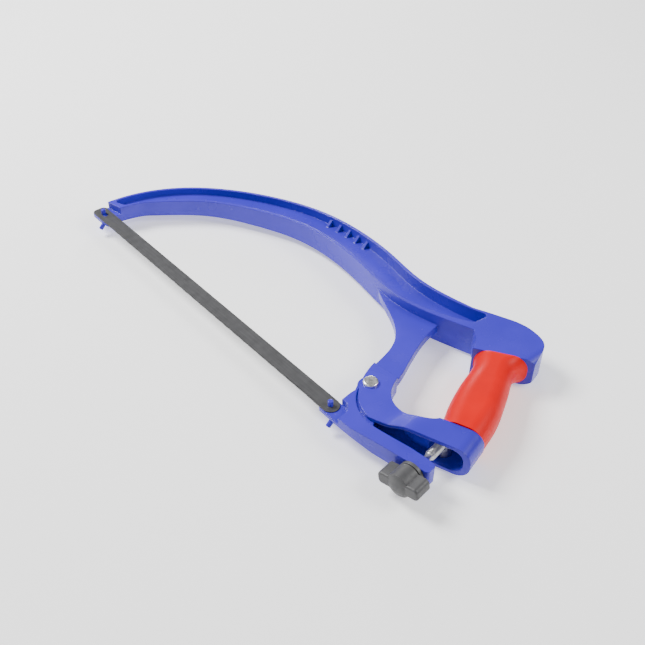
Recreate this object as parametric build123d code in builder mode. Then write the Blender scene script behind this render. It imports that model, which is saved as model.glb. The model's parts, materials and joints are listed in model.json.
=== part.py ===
"""Fixed-frame hacksaw with a cast bow, a screw-tensioned lever and a 300 mm blade.

The saw is drawn flat on its side.  Local x runs along the blade from the front pin to the rear
pin, local y runs from the teeth towards the bow, and z is the distance from the middle plane
of the casting.  Lengths are in millimetres.
"""
import os
from math import asin, cos, radians, sin

from build123d import *

# Where the front blade pin stands in the part's own frame, whose origin is the middle of the
# bounding box at its underside.
FRONT_PIN_X = -192.6
FRONT_PIN_Y = -67.1445
MIDDLE_Z = 14.2075

# Blade
BLADE_CENTRES = 300.0
BLADE_WIDTH = 12.5
BLADE_THICKNESS = 0.65
BLADE_FRONT_OVERHANG = 9.3
BLADE_CORNER = 4.2
BLADE_HOLE_R = 1.93
SLOT_HALF = 2.05
SEAT_Z = 0.55
SLACK = 3.3

# Blade pins
PIN_R = 1.85
PIN_TOP_Z = 5.4
PIN_DEPTH = 5.0
ANGLED_PIN_X = 7.0
ANGLED_PIN_PROUD = 5.0
PIN_EDGE = 0.5
PIN_ROOT_R = 1.6
PIN_RELIEF = 0.5
BEVEL_SUM = 9.1
ANGLED_PIN_Y = -4.9
LUG_CORNER = 3.0

# Casting
TIP_HALF = 6.65
BLOCK_HALF = 12.0
BLOCK_START_X = 312.0
WEB_HALF = 1.4
RIM = 2.6
LEG_HALF = 3.3
CHEEK_HALF = 7.25
CHEEK_WALL = 2.7
RIB_COUNT = 5
RIB_START = 0.54
RIB_STEP = 0.028
RIB_SIZE = 5.2
RIB_HALF_WIDTH = 1.3

# Pivot
PIVOT = (306.2, 30.0)
RIVET_R = 3.6
RIVET_HEAD_R = 5.3
RIVET_HEAD_HEIGHT = 2.1
RIVET_TAIL_R = 4.6
RIVET_TAIL_HEIGHT = 1.4
WASHER_R = 6.4
WASHER_HEIGHT = 1.2
HUB_R = 9.0
HUB_HALF = 4.4
HUB_GAP = 0.6
RUNNING = 0.06

# Lever
LEVER_FRONT_HALF = 5.45
LEVER_REAR_HALF = 6.6
ARM_END_CORNER = 2.6
ARM_LOWER = [(297.0, -6.6), (316.0, -7.0), (326.0, -6.4), (341.0, -3.5), (362.0, 0.4), (384.3, 4.0)]
ARM_UPPER = [
    (383.4, 12.0),
    (377.7, 12.4),
    (369.9, 11.6),
    (362.2, 10.7),
    (355.0, 9.3),
    (347.7, 7.9),
    (335.8, 5.9),
    (328.2, 5.6),
    (319.4, 7.7),
    (312.3, 11.7),
    (306.8, 16.75),
    (303.1, 22.0),
]
SEAT_WALL = [(303.9, 6.5), (307.7, 6.5), (311.0, 5.6), (313.2, 3.6), (314.7, -2.3), (315.6, -8.5)]
TONGUE = [
    (298.0, 27.0),
    (303.2, 18.0),
    (303.9, 14.0),
    (316.0, 8.0),
    (330.0, 4.0),
    (334.0, 6.0),
    (325.0, 18.0),
    (312.5, 23.9),
]

# Screw, knob and nut, along an axis square to the arm near the lever's rear end
SCREW_FOOT = (373.8, 2.45)
SCREW_TILT = 7.0
NECK_R = 2.4
THREAD_R = 3.5
THREAD_START = 16.0
THREAD_END = 41.5
NUT_AT = 32.6
NUT_R = 5.3
NUT_GAP = 0.28
NUT_WEB = 1.2
NUT_TOP_Z = 10.7
NUT_BOTTOM_Z = -11.8
THRUST_R = 8.25
THRUST_HEIGHT = 2.6
KNOB_R = 8.5
KNOB_GROOVE_R = 7.0
KNOB_RIM = 14.8
KNOB_TOP = 17.3
KNOB_BORE = 12.0
WING_START = 3.4
WING_END = 15.8
WING_SPAN = 30.5
WING_THICKNESS = 9.0
WING_CORNER = 3.0
KNOB_TURN = -10.0

# Grip
GRIP_FOOT = (375.5, 44.0)
GRIP_LEAN = 20.4
GRIP_TOP = (348.0, 113.9)
GRIP_TOP_SLOPE = 31.4
GRIP_TOP_SIZE = (37.6, 26.0)
CORE_SIZE = (20.0, 15.0)
CORE_CORNER = 6.0
CORE_LENGTH = 84.0
CORE_OFFSET = -1.5
GRIP_CORNER = 11.5
# Distance up the grip, half width, sideways offset and half depth
GRIP_SECTIONS = [
    (0.0, 15.0, -0.5, 13.2),
    (11.0, 15.8, -0.4, 13.8),
    (20.0, 16.5, -0.7, 14.1),
    (30.0, 16.5, -1.1, 14.2),
    (40.0, 16.0, -1.65, 13.9),
    (50.0, 15.2, -2.05, 13.3),
    (60.0, 14.2, -2.7, 13.0),
]

SAW = Plane(origin=(FRONT_PIN_X, FRONT_PIN_Y, MIDDLE_Z))
SIDE = Plane(origin=SAW.origin, x_dir=(1, 0, 0), z_dir=(0, -1, 0))

os.makedirs("parts", exist_ok=True)


def saw_point(x, y, z=0.0):
    """A point given in the saw's local coordinates, in the part's frame."""
    return SAW.from_local_coords(Vector(x, y, z))


def along_screw(distance, across=0.0):
    """Local x and y of a point on the screw axis, measured up from the arm's lower face."""
    tilt = radians(SCREW_TILT)
    x = SCREW_FOOT[0] - sin(tilt) * distance + cos(tilt) * across
    y = SCREW_FOOT[1] + cos(tilt) * distance + sin(tilt) * across
    return (x, y)


def screw_plane(distance):
    """A plane square to the screw axis, facing up the axis, with its x along the arm."""
    tilt = radians(SCREW_TILT)
    return Plane(
        origin=saw_point(*along_screw(distance)),
        x_dir=(cos(tilt), sin(tilt), 0),
        z_dir=(-sin(tilt), cos(tilt), 0),
    )


def grip_plane(distance):
    """A plane across the grip, facing up the grip, with its x towards the hand's back."""
    lean = radians(GRIP_LEAN)
    x = GRIP_FOOT[0] - sin(lean) * distance
    y = GRIP_FOOT[1] + cos(lean) * distance
    return Plane(
        origin=saw_point(x, y),
        x_dir=(cos(lean), sin(lean), 0),
        z_dir=(-sin(lean), cos(lean), 0),
    )


def angled_plane(x):
    """The bevelled face under a lug, centred on its angled pin and facing outwards."""
    return Plane(
        origin=saw_point(x, ANGLED_PIN_Y, -BEVEL_SUM - ANGLED_PIN_Y),
        x_dir=(1, 0, 0),
        z_dir=(0, -1, -1),
    )


# ---------------------------------------------------------------- frame casting
OUTER_EDGE = [
    (-5.9, 8.3),
    (-2.2, 33.4),
    (13.0, 65.4),
    (44.4, 97.6),
    (84.7, 122.5),
    (128.0, 138.2),
    (172.0, 142.7),
    (218.2, 138.2),
    (262.2, 132.0),
    (298.7, 136.0),
    (327.4, 146.3),
]
INNER_EDGE = [
    (9.7, 11.2),
    (18.9, 35.8),
    (46.7, 69.2),
    (85.6, 94.4),
    (127.0, 110.8),
    (166.2, 115.3),
    (213.0, 110.4),
    (257.9, 104.5),
    (292.7, 110.5),
    (318.0, 118.4),
]
LEG_LEFT = [
    (228.0, 109.5),
    (245.0, 100.0),
    (258.0, 94.0),
    (269.0, 88.0),
    (279.0, 80.0),
    (286.0, 70.0),
    (290.0, 58.0),
    (293.0, 44.0),
]
LEG_RIGHT = [
    (314.3, 44.0),
    (309.7, 58.1),
    (304.9, 68.6),
    (297.5, 86.1),
    (293.6, 99.0),
    (292.0, 112.0),
]
LUG_EDGE = [(-8.8, -6.4), (9.7, -6.4), (9.7, 12.5), (-5.7, 12.5), (-6.4, 7.5), (-8.8, 3.0)]
CHEEK_EDGE = [
    (293.4, 45.4),
    (298.6, 30.5),
    (307.6, 17.5),
    (313.0, 12.8),
    (320.0, 9.4),
    (328.0, 7.9),
]
HAND_EDGE = [
    (360.7, 38.5),
    (357.2, 33.9),
    (351.0, 30.2),
    (336.4, 27.5),
    (325.0, 31.0),
    (316.8, 41.3),
    (314.2, 47.3),
]
MOUTH_END = (394.5, 31.0)
GRIP_PLANE_END = (389.7, 49.3)
CAVITY_WALL = [
    (310.0, 24.4),
    (336.0, 24.6),
    (353.0, 26.1),
    (362.5, 28.5),
    (364.2, 36.0),
    (366.0, 40.0),
    (384.6, 43.0),
    (400.6, 3.0),
]


def inset(edge, start, end, margins):
    """Points beside an edge, each set off to its left by its own margin."""
    points = []
    for index, margin in enumerate(margins):
        place = start + (end - start) * index / (len(margins) - 1)
        heading = edge % place
        points.append(edge @ place + Vector(-heading.Y, heading.X) * margin)
    return points


def swell(half_thin, half_thick):
    """Side outline of the rail: thin at the cheeks and thick at the cup."""
    with BuildSketch(SIDE) as outline:
        with BuildLine():
            Polyline((280, -half_thin), (280, half_thin), (333, half_thin))
            Bezier((333, half_thin), (347, half_thin), (344, half_thick), (358, half_thick))
            Polyline((358, half_thick), (400, half_thick), (400, -half_thick), (358, -half_thick))
            Bezier((358, -half_thick), (344, -half_thick), (347, -half_thin), (333, -half_thin))
            Line((333, -half_thin), (280, -half_thin))
        make_face()
    return outline.sketch


def rounded_rear(solid, x_from, radius):
    """Round the upright rear corners of a solid."""
    upright = solid.edges().filter_by_position(Axis.X, saw_point(x_from, 0).X, 1000)
    flat_ends = upright.filter_by(lambda edge: abs(edge.tangent_at(0.5).Z) < 0.01)
    return fillet(flat_ends.sort_by(Axis.X)[-2:], radius)


# The bow, tapering from the front end to the block above the grip
with BuildSketch(SIDE) as taper:
    with BuildLine():
        Polyline(
            (-20, TIP_HALF - 0.34),
            (BLOCK_START_X, BLOCK_HALF),
            (369, BLOCK_HALF),
            (369, -BLOCK_HALF),
            (BLOCK_START_X, -BLOCK_HALF),
            (-20, 0.34 - TIP_HALF),
            close=True,
        )
    make_face()
    fillet(taper.vertices().sort_by(Axis.X)[-2:], 9.0)

with BuildPart() as bow:
    with BuildSketch(SAW):
        with BuildLine():
            outer = Spline(*OUTER_EDGE, tangents=[(0.02, 1), (0.92, 0.34)])
            top_corner = Spline(
                outer @ 1, (349.0, 148.6), (363.6, 138.0), tangents=[outer % 1, (0.3, -1)]
            )
            rear = Line(top_corner @ 1, (367.4, 125.5))
            seat = Line(rear @ 1, (330.6, 103.2))
            throat = Spline(seat @ 1, (326.6, 111.0), (318.0, 118.4))
            inner = Spline(*reversed(INNER_EDGE), tangents=[(-0.95, -0.3), (-0.2, -1)])
            Line(inner @ 1, outer @ 0)
        make_face()
    extrude(amount=BLOCK_HALF, both=True)
    with BuildSketch(SAW.offset(SEAT_Z)) as lug:
        with BuildLine():
            Polyline(*LUG_EDGE, close=True)
        make_face()
        fillet(lug.vertices().sort_by(Axis.Y)[:2], LUG_CORNER)
    extrude(amount=-BLOCK_HALF)
    extrude(taper.sketch, amount=200, both=True, mode=Mode.INTERSECT)
    with BuildSketch(SAW.offset(WEB_HALF)) as recess:
        with BuildLine():
            far = Spline(*inset(outer, 0.011, 0.965, [-RIM] * 12))
            near = Spline(*inset(inner, 0.008, 0.985, [-7.5, -3.6] + [-RIM] * 10))
            Line(far @ 1, near @ 0)
            Line(near @ 1, far @ 0)
        make_face()
        fillet(recess.vertices(), 2.5)
    pocket = extrude(amount=20, mode=Mode.SUBTRACT)
    mirror(pocket, about=SAW, mode=Mode.SUBTRACT)

# The rail behind the pivot: two cheeks that open into a cup under the grip
with BuildPart() as rail:
    with BuildSketch(SAW):
        with BuildLine():
            Spline(*CHEEK_EDGE)
            Polyline(CHEEK_EDGE[-1], MOUTH_END, GRIP_PLANE_END, HAND_EDGE[0])
            Spline(*HAND_EDGE)
            Line(HAND_EDGE[-1], CHEEK_EDGE[0])
        make_face()
    extrude(amount=BLOCK_HALF, both=True)
    rounded_rear(rail, 388, 10.5)
    extrude(swell(CHEEK_HALF, BLOCK_HALF), amount=200, both=True, mode=Mode.INTERSECT)

with BuildPart() as cavity:
    with BuildSketch(SAW):
        with BuildLine():
            Polyline((280, 30), *CAVITY_WALL, (280, 3), close=True)
        make_face()
        with Locations(PIVOT):
            Circle(HUB_R + HUB_GAP)
    extrude(amount=BLOCK_HALF - CHEEK_WALL, both=True)
    rounded_rear(cavity, 380, 8.0)
    inner_swell = swell(CHEEK_HALF - CHEEK_WALL, BLOCK_HALF - CHEEK_WALL)
    extrude(inner_swell, amount=200, both=True, mode=Mode.INTERSECT)

# A long wedge that bevels both lugs at 45 degrees, where the angled pins stand
with BuildPart() as bevel:
    with BuildSketch(Plane(origin=saw_point(-10, 0), x_dir=(0, 1, 0), z_dir=(1, 0, 0))):
        Polygon((-BEVEL_SUM, 0), (-2 * BEVEL_SUM, -BEVEL_SUM), (0, -BEVEL_SUM), align=None)
    extrude(amount=370)

with BuildPart() as core:
    with BuildSketch(grip_plane(-1.0)):
        with Locations((CORE_OFFSET, 0)):
            RectangleRounded(*CORE_SIZE, CORE_CORNER)
    extrude(amount=CORE_LENGTH)

with BuildPart() as frame:
    add(bow.part)
    with BuildSketch(SAW):
        with BuildLine():
            Spline(*LEG_LEFT)
            Line(LEG_LEFT[-1], LEG_RIGHT[0])
            Spline(*LEG_RIGHT)
            Line(LEG_RIGHT[-1], (258, 106))
            Line((258, 106), LEG_LEFT[0])
        make_face()
    extrude(amount=LEG_HALF, both=True)
    add(rail.part)
    add(cavity.part, mode=Mode.SUBTRACT)
    add(core.part)
    for index in range(RIB_COUNT):
        root = far @ (RIB_START + RIB_STEP * index)
        section = Plane(origin=saw_point(root.X, root.Y, WEB_HALF), x_dir=(0, 1, 0), z_dir=(1, 0, 0))
        with BuildSketch(section):
            Polygon((1, -0.5), (1, RIB_SIZE), (0, RIB_SIZE), (-RIB_SIZE, 0), (-RIB_SIZE, -0.5), align=None)
        rib = extrude(amount=RIB_HALF_WIDTH, both=True)
        mirror(rib, about=SAW)
    # Clearance for the end of the tension screw
    with BuildSketch(screw_plane(NUT_AT)):
        Circle(THREAD_R + 0.8)
    extrude(amount=THREAD_END + 2.0 - NUT_AT, mode=Mode.SUBTRACT)
    # Seat of the barrel nut, blind in the upper cheek
    with BuildSketch(SAW.offset(BLOCK_HALF - NUT_WEB)):
        with Locations(along_screw(NUT_AT)):
            Circle(NUT_R + RUNNING)
    extrude(amount=-40, mode=Mode.SUBTRACT)
    # Rivet hole
    with BuildSketch(SAW):
        with Locations(PIVOT):
            Circle(RIVET_R)
    extrude(amount=20, both=True, mode=Mode.SUBTRACT)
    add(bevel.part, mode=Mode.SUBTRACT)
    with BuildSketch(SAW.offset(SEAT_Z)):
        Circle(PIN_R)
    extrude(amount=-PIN_DEPTH, mode=Mode.SUBTRACT)
    with BuildSketch(angled_plane(ANGLED_PIN_X)):
        Circle(PIN_ROOT_R)
    extrude(amount=-PIN_DEPTH, mode=Mode.SUBTRACT)
frame.part.label = "frame"

# ---------------------------------------------------------------- grip
with BuildPart() as grip_sleeve:
    for distance, half_width, offset, half_depth in GRIP_SECTIONS:
        with BuildSketch(grip_plane(distance)):
            with Locations((offset, 0)):
                RectangleRounded(2 * half_width, 2 * half_depth, GRIP_CORNER)
    slope = radians(GRIP_TOP_SLOPE)
    with BuildSketch(
        Plane(
            origin=saw_point(*GRIP_TOP),
            x_dir=(cos(slope), sin(slope), 0),
            z_dir=(-sin(slope), cos(slope), 0),
        )
    ):
        RectangleRounded(*GRIP_TOP_SIZE, GRIP_CORNER)
    loft()
    for neighbour in (core, bow, rail):
        add(neighbour.part, mode=Mode.SUBTRACT)
grip_sleeve.part.label = "grip_sleeve"

# ---------------------------------------------------------------- pivot
with BuildPart() as pivot_rivet:
    with BuildSketch(SAW.offset(CHEEK_HALF)):
        with Locations(PIVOT):
            Circle(RIVET_HEAD_R)
    extrude(amount=RIVET_HEAD_HEIGHT)
    fillet(pivot_rivet.edges().sort_by(Axis.Z)[-1], 1.2)
    with BuildSketch(SAW.offset(CHEEK_HALF)):
        with Locations(PIVOT):
            Circle(RIVET_R)
    extrude(amount=-2 * CHEEK_HALF - WASHER_HEIGHT)
    with BuildSketch(SAW.offset(-CHEEK_HALF - WASHER_HEIGHT)):
        with Locations(PIVOT):
            Circle(RIVET_TAIL_R)
    extrude(amount=-RIVET_TAIL_HEIGHT)
    fillet(pivot_rivet.edges().sort_by(Axis.Z)[0], 0.8)
pivot_rivet.part.label = "pivot_rivet"

with BuildPart() as rivet_washer:
    with BuildSketch(SAW.offset(-CHEEK_HALF)):
        with Locations(PIVOT):
            Circle(WASHER_R)
            Circle(RIVET_R, mode=Mode.SUBTRACT)
    extrude(amount=-WASHER_HEIGHT)
rivet_washer.part.label = "rivet_washer"

# ---------------------------------------------------------------- lever
with BuildSketch(SIDE) as arm_taper:
    with BuildLine():
        Polyline(
            (280, LEVER_FRONT_HALF),
            (300, LEVER_FRONT_HALF),
            (384, LEVER_REAR_HALF),
            (400, LEVER_REAR_HALF),
            (400, -LEVER_REAR_HALF),
            (384, -LEVER_REAR_HALF),
            (300, -LEVER_FRONT_HALF),
            (280, -LEVER_FRONT_HALF),
            close=True,
        )
    make_face()

with BuildPart() as tension_lever:
    with BuildSketch(SAW) as arm:
        with BuildLine():
            Spline(*ARM_LOWER)
            Line(ARM_LOWER[-1], ARM_UPPER[0])
            Spline(*ARM_UPPER)
            Polyline(ARM_UPPER[-1], (303, 15), (304, 6.4), (294, 6.4), (294, -6.6), ARM_LOWER[0])
        make_face()
        fillet(arm.vertices().sort_by(Axis.X)[:2], LUG_CORNER)
        fillet(arm.vertices().sort_by(Axis.X)[-2:], ARM_END_CORNER)
    extrude(amount=BLOCK_HALF, both=True)
    extrude(arm_taper.sketch, amount=200, both=True, mode=Mode.INTERSECT)
    with BuildSketch(SAW.offset(SEAT_Z)):
        with BuildLine():
            Spline(*SEAT_WALL)
            Polyline(SEAT_WALL[-1], (316, -14), (285, -14), (285, 6.5), SEAT_WALL[0])
        make_face()
    extrude(amount=20, mode=Mode.SUBTRACT)
    with BuildSketch(SAW):
        with Locations(PIVOT):
            Circle(HUB_R)
        with BuildLine():
            Polyline(*TONGUE, close=True)
        make_face()
    extrude(amount=HUB_HALF, both=True)
    with BuildSketch(SAW):
        with Locations(PIVOT):
            Circle(RIVET_R + RUNNING)
    extrude(amount=20, both=True, mode=Mode.SUBTRACT)
    with BuildSketch(screw_plane(-1.0)):
        Circle(NECK_R + RUNNING)
    extrude(amount=20, mode=Mode.SUBTRACT)
    with BuildSketch(screw_plane(0)):
        Circle(THRUST_R + 0.1)
    extrude(amount=-8, mode=Mode.SUBTRACT)
    add(bevel.part, mode=Mode.SUBTRACT)
    with BuildSketch(SAW.offset(SEAT_Z)):
        with Locations((BLADE_CENTRES, 0)):
            Circle(PIN_R)
    extrude(amount=-PIN_DEPTH, mode=Mode.SUBTRACT)
    with BuildSketch(angled_plane(BLADE_CENTRES + ANGLED_PIN_X)):
        Circle(PIN_ROOT_R)
    extrude(amount=-PIN_DEPTH, mode=Mode.SUBTRACT)
tension_lever.part.label = "tension_lever"

# ---------------------------------------------------------------- blade and its pins
with BuildPart() as blade:
    with BuildSketch(SAW.offset(SEAT_Z)) as strip:
        half = BLADE_WIDTH / 2
        with BuildLine():
            Polyline(
                (BLADE_CENTRES, -half),
                (-BLADE_FRONT_OVERHANG, -half),
                (-BLADE_FRONT_OVERHANG, half),
                (BLADE_CENTRES, half),
            )
            ThreePointArc((BLADE_CENTRES, half), (BLADE_CENTRES + half, 0), (BLADE_CENTRES, -half))
        make_face()
        fillet(strip.vertices().sort_by(Axis.X)[:2], BLADE_CORNER)
        with Locations((BLADE_CENTRES, 0)):
            Circle(BLADE_HOLE_R, mode=Mode.SUBTRACT)
        with Locations((SLACK / 2, 0)):
            SlotCenterToCenter(SLACK, 2 * SLOT_HALF, mode=Mode.SUBTRACT)
    extrude(amount=BLADE_THICKNESS)
blade.part.label = "blade"

with BuildPart() as front_blade_pin:
    with BuildSketch(SAW.offset(SEAT_Z - PIN_DEPTH)):
        Circle(PIN_R)
    extrude(amount=PIN_TOP_Z - SEAT_Z + PIN_DEPTH)
    fillet(front_blade_pin.edges().sort_by(Axis.Z)[-1], PIN_EDGE)
front_blade_pin.part.label = "front_blade_pin"

with BuildPart() as rear_blade_pin:
    with BuildSketch(SAW.offset(SEAT_Z - PIN_DEPTH)):
        with Locations((BLADE_CENTRES, 0)):
            Circle(PIN_R)
    extrude(amount=PIN_TOP_Z - SEAT_Z + PIN_DEPTH)
    fillet(rear_blade_pin.edges().sort_by(Axis.Z)[-1], PIN_EDGE)
rear_blade_pin.part.label = "rear_blade_pin"

with BuildPart() as front_angled_pin:
    with BuildSketch(angled_plane(ANGLED_PIN_X).offset(-PIN_DEPTH)):
        Circle(PIN_ROOT_R)
    extrude(amount=PIN_DEPTH + PIN_RELIEF)
    with BuildSketch(angled_plane(ANGLED_PIN_X).offset(PIN_RELIEF)):
        Circle(PIN_R)
    extrude(amount=ANGLED_PIN_PROUD - PIN_RELIEF)
    fillet(front_angled_pin.edges().sort_by(Axis.Z)[0], PIN_EDGE)
front_angled_pin.part.label = "front_angled_pin"

with BuildPart() as rear_angled_pin:
    with BuildSketch(angled_plane(BLADE_CENTRES + ANGLED_PIN_X).offset(-PIN_DEPTH)):
        Circle(PIN_ROOT_R)
    extrude(amount=PIN_DEPTH + PIN_RELIEF)
    with BuildSketch(angled_plane(BLADE_CENTRES + ANGLED_PIN_X).offset(PIN_RELIEF)):
        Circle(PIN_R)
    extrude(amount=ANGLED_PIN_PROUD - PIN_RELIEF)
    fillet(rear_angled_pin.edges().sort_by(Axis.Z)[0], PIN_EDGE)
rear_angled_pin.part.label = "rear_angled_pin"

# ---------------------------------------------------------------- tension screw, knob and nut
with BuildPart() as tension_screw:
    with BuildSketch(screw_plane(-KNOB_BORE)):
        Circle(NECK_R)
    extrude(amount=KNOB_BORE + THREAD_START)
    with BuildSketch(screw_plane(THREAD_START)):
        Circle(THREAD_R)
    extrude(amount=THREAD_END - THREAD_START)
    rims = tension_screw.edges().filter_by(GeomType.CIRCLE)
    chamfer(rims.filter_by(lambda rim: abs(rim.radius - THREAD_R) < 0.01), 0.7)
tension_screw.part.label = "tension_screw"

with BuildPart() as thrust_washer:
    with BuildSketch(screw_plane(0)):
        Circle(THRUST_R)
        Circle(NECK_R + RUNNING, mode=Mode.SUBTRACT)
    extrude(amount=-THRUST_HEIGHT)
thrust_washer.part.label = "thrust_washer"

# The knob's end is part of a sphere
dome_rise = KNOB_TOP - KNOB_RIM
dome_r = (KNOB_R**2 + dome_rise**2) / (2 * dome_rise)
dome_half = asin(KNOB_R / dome_r) / 2
dome_middle = (dome_r * sin(dome_half), KNOB_TOP - dome_r * (1 - cos(dome_half)))
knob_side = Plane(
    origin=screw_plane(0).origin,
    x_dir=screw_plane(0).x_dir,
    z_dir=(0, 0, -1),
)
with BuildPart() as wing_knob:
    with BuildSketch(screw_plane(-WING_START)):
        with Locations(Rotation(0, 0, KNOB_TURN)):
            RectangleRounded(WING_SPAN, WING_THICKNESS, WING_CORNER)
    extrude(amount=WING_START - WING_END)
    fillet(wing_knob.edges().group_by(Axis.Y)[0], 1.5)
    with BuildSketch(knob_side):
        with BuildLine():
            Polyline(
                (0, THRUST_HEIGHT + 0.05),
                (KNOB_GROOVE_R, THRUST_HEIGHT + 0.05),
                (KNOB_GROOVE_R, WING_START),
                (KNOB_R, WING_START),
                (KNOB_R, KNOB_RIM),
            )
            ThreePointArc((KNOB_R, KNOB_RIM), dome_middle, (0, KNOB_TOP))
            Line((0, KNOB_TOP), (0, THRUST_HEIGHT + 0.05))
        make_face()
    revolve(axis=Axis(knob_side.origin, screw_plane(0).z_dir))
    with BuildSketch(screw_plane(-KNOB_BORE)):
        Circle(NECK_R)
    extrude(amount=KNOB_BORE, mode=Mode.SUBTRACT)
wing_knob.part.label = "wing_knob"

with BuildPart() as barrel_nut:
    with BuildSketch(SAW.offset(NUT_TOP_Z)):
        with Locations(along_screw(NUT_AT)):
            Circle(NUT_R)
    extrude(amount=NUT_BOTTOM_Z - NUT_TOP_Z)
    chamfer(barrel_nut.edges().group_by(Axis.Z)[0], 0.5)
    with BuildSketch(screw_plane(NUT_AT)):
        Circle(THREAD_R + NUT_GAP)
    extrude(amount=20, both=True, mode=Mode.SUBTRACT)
barrel_nut.part.label = "barrel_nut"

for piece in (
    frame,
    grip_sleeve,
    pivot_rivet,
    rivet_washer,
    tension_lever,
    blade,
    front_blade_pin,
    rear_blade_pin,
    front_angled_pin,
    rear_angled_pin,
    tension_screw,
    thrust_washer,
    wing_knob,
    barrel_nut,
):
    export_step(piece.part, f"parts/{piece.part.label}.step")
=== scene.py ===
"""Hacksaw lying on its side: materials, detailed pieces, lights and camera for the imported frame."""

import json
from math import cos, floor, radians, sin, tau

import bmesh
import bpy
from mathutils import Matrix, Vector


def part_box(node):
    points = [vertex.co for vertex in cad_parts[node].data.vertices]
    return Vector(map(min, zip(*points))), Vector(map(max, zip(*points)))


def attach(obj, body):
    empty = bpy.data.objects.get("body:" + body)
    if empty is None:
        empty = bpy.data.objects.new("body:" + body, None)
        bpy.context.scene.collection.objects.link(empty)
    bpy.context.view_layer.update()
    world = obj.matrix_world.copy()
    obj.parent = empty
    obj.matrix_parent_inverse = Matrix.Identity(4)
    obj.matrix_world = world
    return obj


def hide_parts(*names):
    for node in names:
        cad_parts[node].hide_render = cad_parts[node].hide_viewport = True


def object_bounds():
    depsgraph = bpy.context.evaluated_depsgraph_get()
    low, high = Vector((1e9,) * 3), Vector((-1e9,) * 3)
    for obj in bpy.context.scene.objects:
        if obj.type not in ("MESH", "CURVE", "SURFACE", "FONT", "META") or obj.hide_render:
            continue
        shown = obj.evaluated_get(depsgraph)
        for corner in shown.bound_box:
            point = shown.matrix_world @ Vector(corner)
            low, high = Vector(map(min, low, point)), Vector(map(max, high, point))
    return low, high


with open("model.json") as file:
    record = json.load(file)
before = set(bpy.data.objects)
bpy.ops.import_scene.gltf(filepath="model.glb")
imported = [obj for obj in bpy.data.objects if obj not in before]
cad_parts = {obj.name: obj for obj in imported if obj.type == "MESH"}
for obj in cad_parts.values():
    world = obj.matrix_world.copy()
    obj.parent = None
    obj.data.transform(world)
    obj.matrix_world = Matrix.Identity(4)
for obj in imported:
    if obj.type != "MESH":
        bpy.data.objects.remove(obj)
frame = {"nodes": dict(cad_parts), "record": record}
cad_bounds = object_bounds()
MM = 0.001


def middle(node):
    """Middle of a CAD node's box at rest."""
    low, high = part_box(node)
    return (Vector(low) + Vector(high)) / 2


FRONT_PIN = middle("front_blade_pin")
REAR_PIN = middle("rear_blade_pin")
BLADE_LOW, BLADE_HIGH = (Vector(corner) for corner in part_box("blade"))
KNOB_JOINT = next(j for j in frame["record"]["behaviour"]["joints"] if j["name"] == "knob_spin")
SCREW_FOOT = Vector(KNOB_JOINT["pos_m"])
SCREW_AXIS = Vector(KNOB_JOINT["axis"]).normalized()

# ------------------------------------------------------------------ materials


SHADE_START, SHADE_END = 0.35, 0.65
GLOSS_START, GLOSS_END = 0.3, 0.7
EDGE_SAMPLES = 6


class Finish:
    """A Principled material with the few helpers that the finishes below share."""

    def __init__(self, name, colour, roughness, metallic=0.0, specular=0.5):
        self.material = bpy.data.materials.new(name)
        self.material.use_nodes = True
        self.nodes = self.material.node_tree.nodes
        self.links = self.material.node_tree.links
        self.shader = self.nodes["Principled BSDF"]
        self.shader.inputs["Base Color"].default_value = (*colour, 1)
        self.shader.inputs["Roughness"].default_value = roughness
        self.shader.inputs["Metallic"].default_value = metallic
        self.shader.inputs["Specular IOR Level"].default_value = specular
        self.place = self.nodes.new("ShaderNodeTexCoord").outputs["Object"]

    def noise(self, scale, detail, stretch=None):
        """Noise over the object's own coordinates, optionally stretched along an axis."""
        texture = self.nodes.new("ShaderNodeTexNoise")
        texture.inputs["Scale"].default_value = scale
        texture.inputs["Detail"].default_value = detail
        place = self.place
        if stretch:
            mapping = self.nodes.new("ShaderNodeMapping")
            mapping.inputs["Scale"].default_value = stretch
            self.links.new(place, mapping.inputs["Vector"])
            place = mapping.outputs["Vector"]
        self.links.new(place, texture.inputs["Vector"])
        return texture.outputs["Fac"]

    def shade(self, grain, first, second):
        """Base colour running from one colour to another over a noise."""
        ramp = self.nodes.new("ShaderNodeValToRGB")
        stops = ((SHADE_START, first), (SHADE_END, second))
        for element, (position, colour) in zip(ramp.color_ramp.elements, stops):
            element.position = position
            element.color = (*colour, 1)
        self.links.new(self.noise(*grain), ramp.inputs["Fac"])
        self.links.new(ramp.outputs["Color"], self.shader.inputs["Base Color"])

    def gloss(self, grain, low, high):
        """Roughness running over a range with a noise."""
        node = self.nodes.new("ShaderNodeMapRange")
        node.inputs["From Min"].default_value = GLOSS_START
        node.inputs["From Max"].default_value = GLOSS_END
        node.inputs["To Min"].default_value = low
        node.inputs["To Max"].default_value = high
        self.links.new(self.noise(*grain), node.inputs["Value"])
        self.links.new(node.outputs["Result"], self.shader.inputs["Roughness"])

    def soft_edges(self, radius):
        """Shading that rounds every edge over a radius in metres; called before any bump."""
        node = self.nodes.new("ShaderNodeBevel")
        node.samples = EDGE_SAMPLES
        node.inputs["Radius"].default_value = radius
        self.links.new(node.outputs["Normal"], self.shader.inputs["Normal"])

    def bump(self, grain, height, strength):
        """Relief of a given height in metres; calls after the first add to it."""
        node = self.nodes.new("ShaderNodeBump")
        node.inputs["Strength"].default_value = strength
        node.inputs["Distance"].default_value = height
        self.links.new(self.noise(*grain), node.inputs["Height"])
        normal = self.shader.inputs["Normal"]
        if normal.is_linked:
            self.links.new(normal.links[0].from_socket, node.inputs["Normal"])
        self.links.new(node.outputs["Normal"], normal)


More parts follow.
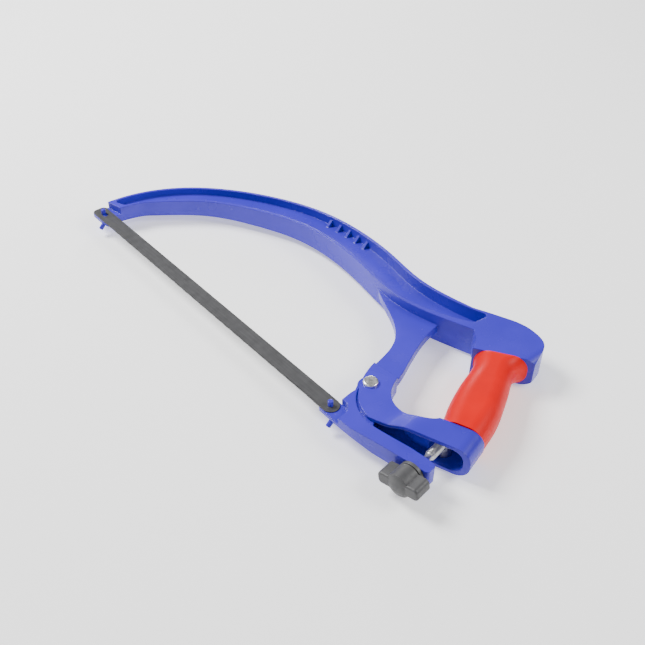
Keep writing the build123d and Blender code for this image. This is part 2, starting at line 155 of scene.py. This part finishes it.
# Each finish gives its two shades and their grain, its range of roughness and the grain of that,
# then its reliefs as grain, height and strength.  A grain is a noise's scale, detail and stretch.
DRAWN_STEEL = (1, 5, (30, 2600, 900))
FINISHES = {
    "blue_powder_coat": {
        "shades": ((22, 4), (0.042, 0.026, 0.46), (0.052, 0.032, 0.53)),
        "gloss": ((60, 4), 0.20, 0.30),
        "reliefs": [((520, 2), 0.05 * MM, 0.4), ((90, 3), 0.16 * MM, 0.3)],
        "specular": 0.26,
        "edge_radius": 0.9 * MM,
    },
    "red_grip_rubber": {
        "shades": ((35, 4), (0.66, 0.001, 0.001), (0.74, 0.001, 0.001)),
        "gloss": ((120, 3), 0.36, 0.47),
        "reliefs": [((2600, 2), 0.03 * MM, 0.5)],
        "specular": 0.14,
    },
    "blade_coating": {
        "shades": (DRAWN_STEEL, (0.045, 0.045, 0.048), (0.068, 0.068, 0.071)),
        "gloss": ((180, 4), 0.38, 0.52),
        "reliefs": [(DRAWN_STEEL, 0.02 * MM, 0.6)],
        "metallic": 0.25,
    },
    "knob_moulded_plastic": {
        "shades": ((70, 4), (0.054, 0.054, 0.057), (0.067, 0.067, 0.070)),
        "gloss": ((300, 3), 0.42, 0.56),
        "reliefs": [((3200, 2), 0.04 * MM, 0.6)],
    },
    "rivet_bright_steel": {
        "shades": ((240, 4), (0.74, 0.74, 0.74), (0.86, 0.86, 0.85)),
        "gloss": ((500, 4), 0.22, 0.38),
        "reliefs": [((900, 3), 0.03 * MM, 0.5)],
        "metallic": 1.0,
    },
    "zinc_plated_steel": {
        "shades": ((150, 4), (0.55, 0.56, 0.58), (0.70, 0.69, 0.64)),
        "gloss": ((700, 4), 0.26, 0.42),
        "reliefs": [((1600, 3), 0.02 * MM, 0.5)],
        "metallic": 1.0,
    },
}


def make_finish(name, shades, gloss, reliefs, metallic=0.0, specular=0.5, edge_radius=None):
    """The material of one row of FINISHES."""
    plain_colour = [(first + second) / 2 for first, second in zip(*shades[1:])]
    finish = Finish(name, plain_colour, (gloss[1] + gloss[2]) / 2, metallic, specular)
    finish.shade(*shades)
    finish.gloss(*gloss)
    if edge_radius:
        finish.soft_edges(edge_radius)
    for relief in reliefs:
        finish.bump(*relief)
    return finish.material


MATERIALS = {name: make_finish(name, **recipe) for name, recipe in FINISHES.items()}
BLUE_COAT = MATERIALS["blue_powder_coat"]
RED_RUBBER = MATERIALS["red_grip_rubber"]
BLADE_COAT = MATERIALS["blade_coating"]
KNOB_PLASTIC = MATERIALS["knob_moulded_plastic"]
RIVET_STEEL = MATERIALS["rivet_bright_steel"]
ZINC_PLATE = MATERIALS["zinc_plated_steel"]

NODE_FINISHES = {
    "frame": BLUE_COAT,
    "tension_lever": BLUE_COAT,
    "front_blade_pin": BLUE_COAT,
    "front_angled_pin": BLUE_COAT,
    "rear_blade_pin": BLUE_COAT,
    "rear_angled_pin": BLUE_COAT,
    "grip_sleeve": RED_RUBBER,
    "blade": BLADE_COAT,
    "wing_knob": KNOB_PLASTIC,
    "thrust_washer": KNOB_PLASTIC,
    "pivot_rivet": RIVET_STEEL,
    "rivet_washer": RIVET_STEEL,
    "tension_screw": ZINC_PLATE,
    "barrel_nut": ZINC_PLATE,
}
for node, material in NODE_FINISHES.items():
    for slot in frame["nodes"][node].material_slots:
        slot.material = material

# ------------------------------------------------------------------ rounded edges on the castings
EDGE_ROUNDING = {
    "frame": 0.7 * MM,
    "tension_lever": 0.7 * MM,
    "wing_knob": 0.7 * MM,
    "thrust_washer": 0.3 * MM,
    "pivot_rivet": 0.2 * MM,
}
WELD_DISTANCE = 0.005 * MM
FLAT_ANGLE = radians(0.5)
SHARP_ANGLE = radians(35)
EDGE_SEGMENTS = 3
NORMAL_WEIGHT = 80
for node, width in EDGE_ROUNDING.items():
    modifiers = frame["nodes"][node].modifiers
    modifiers.new("weld", "WELD").merge_threshold = WELD_DISTANCE
    flatten = modifiers.new("flatten", "DECIMATE")
    flatten.decimate_type = "DISSOLVE"
    flatten.angle_limit = FLAT_ANGLE
    bevel = modifiers.new("edges", "BEVEL")
    bevel.width = width
    bevel.segments = EDGE_SEGMENTS
    bevel.limit_method = "ANGLE"
    bevel.angle_limit = SHARP_ANGLE
    modifiers.new("normals", "WEIGHTED_NORMAL").weight = NORMAL_WEIGHT


# ------------------------------------------------------------------ detailed pieces
def finish_piece(mesh, name, body, node, material):
    """Link a mesh as a piece that rides on a body and stands for a CAD node."""
    piece = bpy.data.objects.new(name, mesh)
    bpy.context.collection.objects.link(piece)
    mesh.materials.append(material)
    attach(piece, body)
    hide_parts(node)
    return piece


# Blade, with its raked teeth set in a wave
TOOTH_PITCH = 25.4 / 24 * MM
TOOTH_HEIGHT = 0.75 * MM
TOOTH_FACE = 0.12
FIRST_TOOTH = FRONT_PIN.x + 14 * MM
LAST_TOOTH = REAR_PIN.x - 10 * MM
SET_WIDTH = 0.17 * MM
SET_PITCH = 10 * TOOTH_PITCH
SET_DEPTH = 2.2 * TOOTH_HEIGHT
SET_RUNOUT = 6 * TOOTH_PITCH
BLADE_CORNER = 4.2 * MM
HOLE_R = 1.93 * MM
SLOT_R = 2.05 * MM
SLOT_LENGTH = 3.3 * MM


def arc(centre, radius, start, end, steps):
    """Points on an arc about a centre, from one angle to another in degrees."""
    points = []
    for index in range(steps + 1):
        angle = radians(start + (end - start) * index / steps)
        points.append((centre[0] + radius * cos(angle), centre[1] + radius * sin(angle)))
    return points


def blade_outline():
    """The blade's outline: plain back, round rear end, square front end and toothed edge."""
    left, tips = BLADE_LOW.x, BLADE_LOW.y
    back = BLADE_HIGH.y
    half = (back - tips) / 2
    points = arc((left + BLADE_CORNER, back - BLADE_CORNER), BLADE_CORNER, 180, 90, 6)
    points += arc((REAR_PIN.x, REAR_PIN.y), half, 90, -90, 40)
    count = int((LAST_TOOTH - FIRST_TOOTH) / TOOTH_PITCH)
    for index in range(count, -1, -1):
        root = FIRST_TOOTH + index * TOOTH_PITCH
        points.append((root + TOOTH_FACE * TOOTH_PITCH, tips))
        points.append((root, tips + TOOTH_HEIGHT))
    points.append((FIRST_TOOTH - TOOTH_PITCH, tips))
    points += arc((left + BLADE_CORNER, tips + BLADE_CORNER), BLADE_CORNER, 270, 180, 6)
    return points


def blade_holes():
    """The round rear hole and the front slot."""
    front, rear = (FRONT_PIN.x, FRONT_PIN.y), (REAR_PIN.x, REAR_PIN.y)
    slot_end = (front[0] + SLOT_LENGTH, front[1])
    return [
        arc(rear, HOLE_R, 0, 345, 23),
        arc(slot_end, SLOT_R, -90, 90, 12) + arc(front, SLOT_R, 90, 270, 12),
    ]


def flat_mesh(name, loops, low, high):
    """A plate with the given outline and holes between two heights."""
    curve = bpy.data.curves.new(name, "CURVE")
    curve.dimensions = "2D"
    curve.fill_mode = "BOTH"
    curve.extrude = (high - low) / 2
    for loop in loops:
        spline = curve.splines.new("POLY")
        spline.points.add(len(loop) - 1)
        for point, (x, y) in zip(spline.points, loop):
            point.co = (x, y, 0, 1)
        spline.use_cyclic_u = True
    holder = bpy.data.objects.new(name, curve)
    mesh = bpy.data.meshes.new_from_object(holder)
    bpy.data.objects.remove(holder)
    for vertex in mesh.vertices:
        vertex.co.z += (low + high) / 2
    return mesh


blade_loops = [blade_outline(), *blade_holes()]
blade_mesh = flat_mesh("blade_toothed", blade_loops, BLADE_LOW.z, BLADE_HIGH.z)
for vertex in blade_mesh.vertices:
    depth = (BLADE_LOW.y + SET_DEPTH - vertex.co.y) / SET_DEPTH
    inside = min(vertex.co.x - FIRST_TOOTH, LAST_TOOTH - vertex.co.x) / SET_RUNOUT
    if depth > 0 and inside > 0:
        sway = sin(tau * vertex.co.x / SET_PITCH)
        vertex.co.z += SET_WIDTH * min(depth, 1) * min(inside, 1) * sway
finish_piece(blade_mesh, "blade_toothed", "blade", "blade", BLADE_COAT)

# Tension screw, with a rolled right-hand thread
THREAD_PITCH = 1.25 * MM
THREAD_R = 3.5 * MM
ROOT_R = 2.78 * MM
NECK_R = 2.4 * MM
SCREW_START = -12.0 * MM
THREAD_START = 16.0 * MM
THREAD_END = 41.5 * MM
FLANK_SLOPE = 1.35
ROOT_FLAT = 0.15
TIP_DROP = 0.9 * MM
RING_STEPS = 40
PITCH_STEPS = 10


def thread_radius(distance, angle):
    """Radius of the screw at a distance along its axis and an angle about it."""
    if distance < THREAD_START:
        return NECK_R
    phase = distance / THREAD_PITCH - angle / tau
    phase -= floor(phase)
    crest = 1 - abs(2 * phase - 1)
    full = ROOT_R + (THREAD_R - ROOT_R) * min(1, max(0, FLANK_SLOPE * crest - ROOT_FLAT))
    runout = min(1, (distance - THREAD_START) / THREAD_PITCH)
    lead = THREAD_R - TIP_DROP + (THREAD_END - distance)
    return min(ROOT_R + (full - ROOT_R) * runout, lead)


def thread_mesh():
    """The screw as rings of points about its axis, closed at both ends."""
    stations = [SCREW_START, THREAD_START - 0.01 * MM]
    count = round((THREAD_END - THREAD_START) / THREAD_PITCH * PITCH_STEPS)
    for index in range(count + 1):
        stations.append(THREAD_START + (THREAD_END - THREAD_START) * index / count)
    across = SCREW_AXIS.cross(Vector((0, 0, 1))).normalized()
    upward = SCREW_AXIS.cross(across)
    shape = bmesh.new()
    rings = []
    for distance in stations:
        ring = []
        for step in range(RING_STEPS):
            angle = tau * step / RING_STEPS
            radius = thread_radius(distance, angle)
            offset = across * (radius * cos(angle)) + upward * (radius * sin(angle))
            ring.append(shape.verts.new(SCREW_FOOT + SCREW_AXIS * distance + offset))
        rings.append(ring)
    for first, second in zip(rings, rings[1:]):
        for step in range(RING_STEPS):
            after = (step + 1) % RING_STEPS
            face = shape.faces.new((first[step], first[after], second[after], second[step]))
            face.smooth = True
    shape.faces.new(rings[0][::-1])
    shape.faces.new(rings[-1])
    bmesh.ops.recalc_face_normals(shape, faces=shape.faces)
    mesh = bpy.data.meshes.new("screw_threaded")
    shape.to_mesh(mesh)
    shape.free()
    return mesh


finish_piece(thread_mesh(), "screw_threaded", "knob", "tension_screw", ZINC_PLATE)

# ------------------------------------------------------------------ studio
FLOOR_SIZE = 30.0
FLOOR_GLOW = 0.55
SKY_STRENGTH = 0.25
WHITE = (1, 1, 1, 1)
# Place in metres, side in metres and power in watts
LIGHTS = {
    "key": ((-1.0, -0.4, 1.2), 0.6, 44),
    "fill": ((1.0, 0.7, 1.0), 0.6, 16),
    "front": ((0.3, -1.2, 0.7), 0.8, 2),
    "rim": ((-1.0, 1.0, 0.45), 0.35, 7),
}


def area_light(name, place, size, power):
    """A soft square light aimed at the middle of the saw."""
    data = bpy.data.lights.new(name, "AREA")
    data.size = size
    data.energy = power
    lamp = bpy.data.objects.new(name, data)
    lamp.location = place
    lamp.rotation_euler = (-Vector(place)).to_track_quat("-Z", "Y").to_euler()
    bpy.context.collection.objects.link(lamp)


shape = bmesh.new()
bmesh.ops.create_grid(shape, x_segments=1, y_segments=1, size=FLOOR_SIZE / 2)
floor_mesh = bpy.data.meshes.new("studio_floor")
shape.to_mesh(floor_mesh)
shape.free()
studio_floor = bpy.data.objects.new("studio_floor", floor_mesh)
studio_floor.location.z = cad_bounds[0][2]
bpy.context.collection.objects.link(studio_floor)
paper = Finish("studio_paper", (0.92, 0.92, 0.92), 0.9)
paper.shader.inputs["Emission Color"].default_value = WHITE
paper.shader.inputs["Emission Strength"].default_value = FLOOR_GLOW
floor_mesh.materials.append(paper.material)

world = bpy.data.worlds.new("studio")
bpy.context.scene.world = world
world.use_nodes = True
background = world.node_tree.nodes["Background"]
background.inputs["Color"].default_value = WHITE
background.inputs["Strength"].default_value = SKY_STRENGTH
for name, (place, size, power) in LIGHTS.items():
    area_light(name, place, size, power)

# Camera, where the outline of the saw matches the reference view
CAMERA_FROM_PIN = Vector((0.583545, -0.249089, 0.396571))
CAMERA_AZIMUTH = 49.506
CAMERA_ELEVATION = 40.724
camera_data = bpy.data.cameras.new("camera")
camera_data.sensor_fit = "HORIZONTAL"
camera_data.sensor_width = 36.0
camera_data.lens = 46.234
camera_data.clip_start = 0.01
camera = bpy.data.objects.new("camera", camera_data)
camera.location = Vector((FRONT_PIN.x, FRONT_PIN.y, BLADE_HIGH.z)) + CAMERA_FROM_PIN
camera.rotation_euler = (radians(90 - CAMERA_ELEVATION), 0, radians(CAMERA_AZIMUTH))
bpy.context.collection.objects.link(camera)
bpy.context.scene.camera = camera
